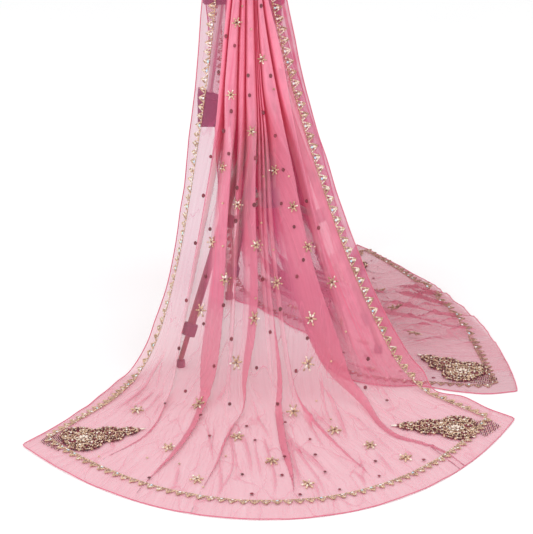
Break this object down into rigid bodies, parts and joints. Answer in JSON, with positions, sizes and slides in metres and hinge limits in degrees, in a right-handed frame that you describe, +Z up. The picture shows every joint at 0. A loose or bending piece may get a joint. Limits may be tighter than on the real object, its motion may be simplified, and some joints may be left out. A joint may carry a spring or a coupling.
{
  "type": "dupatta stole on tripod stand",
  "caption": "Sheer rose net dupatta stole with gold beaded borders and corner motifs, gathered in folds over a small tripod stand and fanned out over the floor.",
  "frame": {"origin": "centre of the whole object's box, at the floor that the cloth and the feet rest on", "axes": "+Z up, -Y the front that the fanned hem faces, +X to the right as seen from the front"},
  "size_m": [0.773, 1.1192, 0.7094],
  "materials": {
    "rose_net": "sheer soft net with a light sheen",
    "gold_beadwork": "gold thread, beads and sequins",
    "stand_plastic": "matte black",
    "stand_tube": "dark bronze satin"
  },
  "bodies": {
    "root": {"front_spread": "rose_net", "front_fall": "rose_net", "top_fold": "rose_net", "back_fall": "rose_net", "back_spread": "rose_net", "border_front_left": "gold_beadwork", "border_front_right": "gold_beadwork", "border_front_hem": "gold_beadwork", "border_back_left": "gold_beadwork", "border_back_right": "gold_beadwork", "border_back_hem": "gold_beadwork", "motif_front_left": "gold_beadwork", "motif_front_right": "gold_beadwork", "motif_back_near": "gold_beadwork", "motif_back_far": "gold_beadwork", "stand_head_board": "stand_plastic", "stand_tilt_block": "stand_plastic", "stand_shoulder": "stand_plastic", "stand_hub": "stand_plastic", "stand_grip": "stand_plastic", "stand_leg_left_clamp": "stand_plastic", "stand_leg_left_foot": "stand_plastic", "stand_arm_left_bracket": "stand_plastic", "stand_leg_right_clamp": "stand_plastic", "stand_leg_right_foot": "stand_plastic", "stand_arm_right_bracket": "stand_plastic", "stand_leg_back_clamp": "stand_plastic", "stand_leg_back_foot": "stand_plastic", "stand_arm_back_bracket": "stand_plastic", "stand_column_upper": "stand_tube", "stand_column_lower": "stand_tube", "stand_grip_rod": "stand_tube", "stand_leg_left_upper": "stand_tube", "stand_leg_left_lower": "stand_tube", "stand_arm_left": "stand_tube", "stand_leg_right_upper": "stand_tube", "stand_leg_right_lower": "stand_tube", "stand_arm_right": "stand_tube", "stand_leg_back_upper": "stand_tube", "stand_leg_back_lower": "stand_tube", "stand_arm_back": "stand_tube"}
  },
  "joints": []
}
